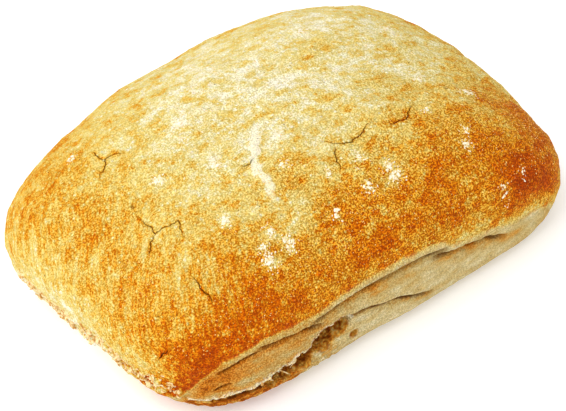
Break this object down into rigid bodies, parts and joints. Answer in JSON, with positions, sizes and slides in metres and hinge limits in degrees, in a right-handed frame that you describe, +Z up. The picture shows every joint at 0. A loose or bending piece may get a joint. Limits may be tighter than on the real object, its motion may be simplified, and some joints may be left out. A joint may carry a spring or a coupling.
{
  "type": "ciabatta",
  "caption": "Small ciabatta roll: a low, slipper-shaped loaf with a domed crown, rounded corners, a crust rim folded over a torn long side, fine crust cracks and a flat foot.",
  "frame": {"origin": "middle of the flat foot, under the middle of the loaf's length and width, on the surface it rests on", "axes": "+X along the length towards the darker end, +Y across the width away from the folded and torn long side, +Z up through the crown"},
  "size_m": [0.146, 0.0974, 0.048],
  "materials": {
    "crust": "baked bread crust, matt and mealy: golden brown, cream on the crown, orange brown at the right end and front edge, dusted with flour; pale beige dough in the folded side"
  },
  "bodies": {
    "root": {"loaf": "crust"}
  },
  "joints": []
}
